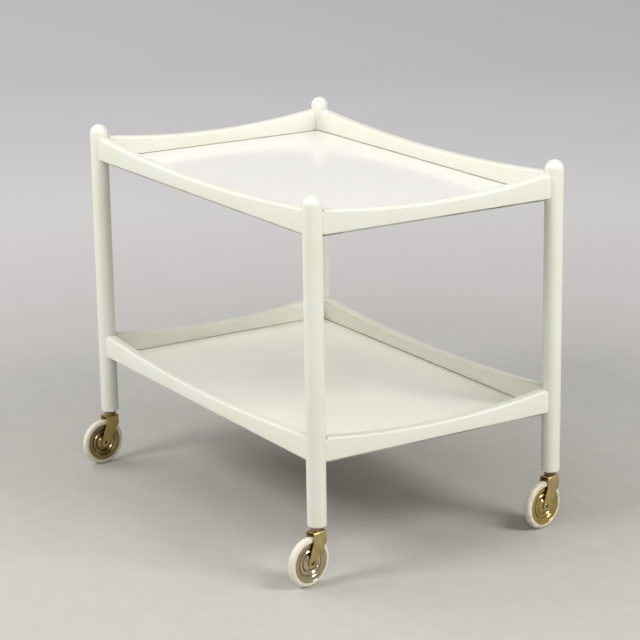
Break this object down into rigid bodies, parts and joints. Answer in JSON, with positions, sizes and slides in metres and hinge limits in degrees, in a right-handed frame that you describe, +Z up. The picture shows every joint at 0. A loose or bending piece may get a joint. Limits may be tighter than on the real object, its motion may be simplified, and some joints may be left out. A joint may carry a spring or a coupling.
{
  "type": "serving trolley",
  "caption": "Low serving trolley: turned posts carry an upper and a lower tray with hollow-curved rails, and roll on swivel casters.",
  "frame": {"origin": "on the floor, midway between the furthest reach to the front (the tyres) and to the back (the tyres) with the casters at rest, and midway between the posts along X", "axes": "+X along the long side to the right, +Y to the back, +Z up; the wheels trail towards -Y"},
  "size_m": [0.7155, 0.5184, 0.6],
  "materials": {
    "cream_lacquer": "turned and planed beech, cream lacquer, satin gloss",
    "cream_laminate": "decorative laminate sheet, gloss",
    "hardboard": "bare tempered hardboard",
    "beech": "bare fluted dowel stock",
    "brass": "pressed and turned metal with an aged brass finish",
    "zinc_steel": "zinc-plated turned steel",
    "cream_rubber": "solid off-white rubber, slightly soiled"
  },
  "bodies": {
    "frame": {"post_front_left": "cream_lacquer", "post_front_right": "cream_lacquer", "post_back_right": "cream_lacquer", "post_back_left": "cream_lacquer", "upper_rail_front": "cream_lacquer", "upper_rail_right": "cream_lacquer", "upper_rail_back": "cream_lacquer", "upper_rail_left": "cream_lacquer", "upper_board": "hardboard", "upper_laminate": "cream_laminate", "upper_dowels": "beech", "upper_screws": "zinc_steel", "lower_rail_front": "cream_lacquer", "lower_rail_right": "cream_lacquer", "lower_rail_back": "cream_lacquer", "lower_rail_left": "cream_lacquer", "lower_board": "hardboard", "lower_laminate": "cream_laminate", "lower_dowels": "beech", "lower_screws": "zinc_steel", "socket_front_left": "zinc_steel", "socket_front_right": "zinc_steel", "socket_back_right": "zinc_steel", "socket_back_left": "zinc_steel"},
    "swivel_front_left": {"stem_front_left": "brass", "washer_front_left": "brass", "fork_front_left": "brass", "axle_front_left": "brass"},
    "wheel_front_left": {"hub_front_left": "brass", "right_disc_front_left": "brass", "left_disc_front_left": "brass", "tyre_front_left": "cream_rubber"},
    "swivel_front_right": {"stem_front_right": "brass", "washer_front_right": "brass", "fork_front_right": "brass", "axle_front_right": "brass"},
    "wheel_front_right": {"hub_front_right": "brass", "right_disc_front_right": "brass", "left_disc_front_right": "brass", "tyre_front_right": "cream_rubber"},
    "swivel_back_right": {"stem_back_right": "brass", "washer_back_right": "brass", "fork_back_right": "brass", "axle_back_right": "brass"},
    "wheel_back_right": {"hub_back_right": "brass", "right_disc_back_right": "brass", "left_disc_back_right": "brass", "tyre_back_right": "cream_rubber"},
    "swivel_back_left": {"stem_back_left": "brass", "washer_back_left": "brass", "fork_back_left": "brass", "axle_back_left": "brass"},
    "wheel_back_left": {"hub_back_left": "brass", "right_disc_back_left": "brass", "left_disc_back_left": "brass", "tyre_back_left": "cream_rubber"}
  },
  "joints": [
    {"name": "swivel_front_left", "type": "hinge", "parent": "frame", "child": "swivel_front_left", "pos_m": [-0.342, -0.20241, 0], "axis": [0, 0, 1], "continuous": true},
    {"name": "wheel_front_left_spin", "type": "hinge", "parent": "swivel_front_left", "child": "wheel_front_left", "pos_m": [-0.34, -0.2205, 0.03875], "axis": [0.994, 0.1097, 0], "continuous": true},
    {"name": "swivel_front_right", "type": "hinge", "parent": "frame", "child": "swivel_front_right", "pos_m": [0.342, -0.20241, 0], "axis": [0, 0, 1], "continuous": true},
    {"name": "wheel_front_right_spin", "type": "hinge", "parent": "swivel_front_right", "child": "wheel_front_right", "pos_m": [0.34532, -0.22031, 0.03875], "axis": [0.9833, 0.1822, 0], "continuous": true},
    {"name": "swivel_back_right", "type": "hinge", "parent": "frame", "child": "swivel_back_right", "pos_m": [0.342, 0.23859, 0], "axis": [0, 0, 1], "continuous": true},
    {"name": "wheel_back_right_spin", "type": "hinge", "parent": "swivel_back_right", "child": "wheel_back_right", "pos_m": [0.34566, 0.22076, 0.03875], "axis": [0.9796, 0.2011, 0], "continuous": true},
    {"name": "swivel_back_left", "type": "hinge", "parent": "frame", "child": "swivel_back_left", "pos_m": [-0.342, 0.23859, 0], "axis": [0, 0, 1], "continuous": true},
    {"name": "wheel_back_left_spin", "type": "hinge", "parent": "swivel_back_left", "child": "wheel_back_left", "pos_m": [-0.33915, 0.22061, 0.03875], "axis": [0.9877, 0.1564, 0], "continuous": true}
  ]
}
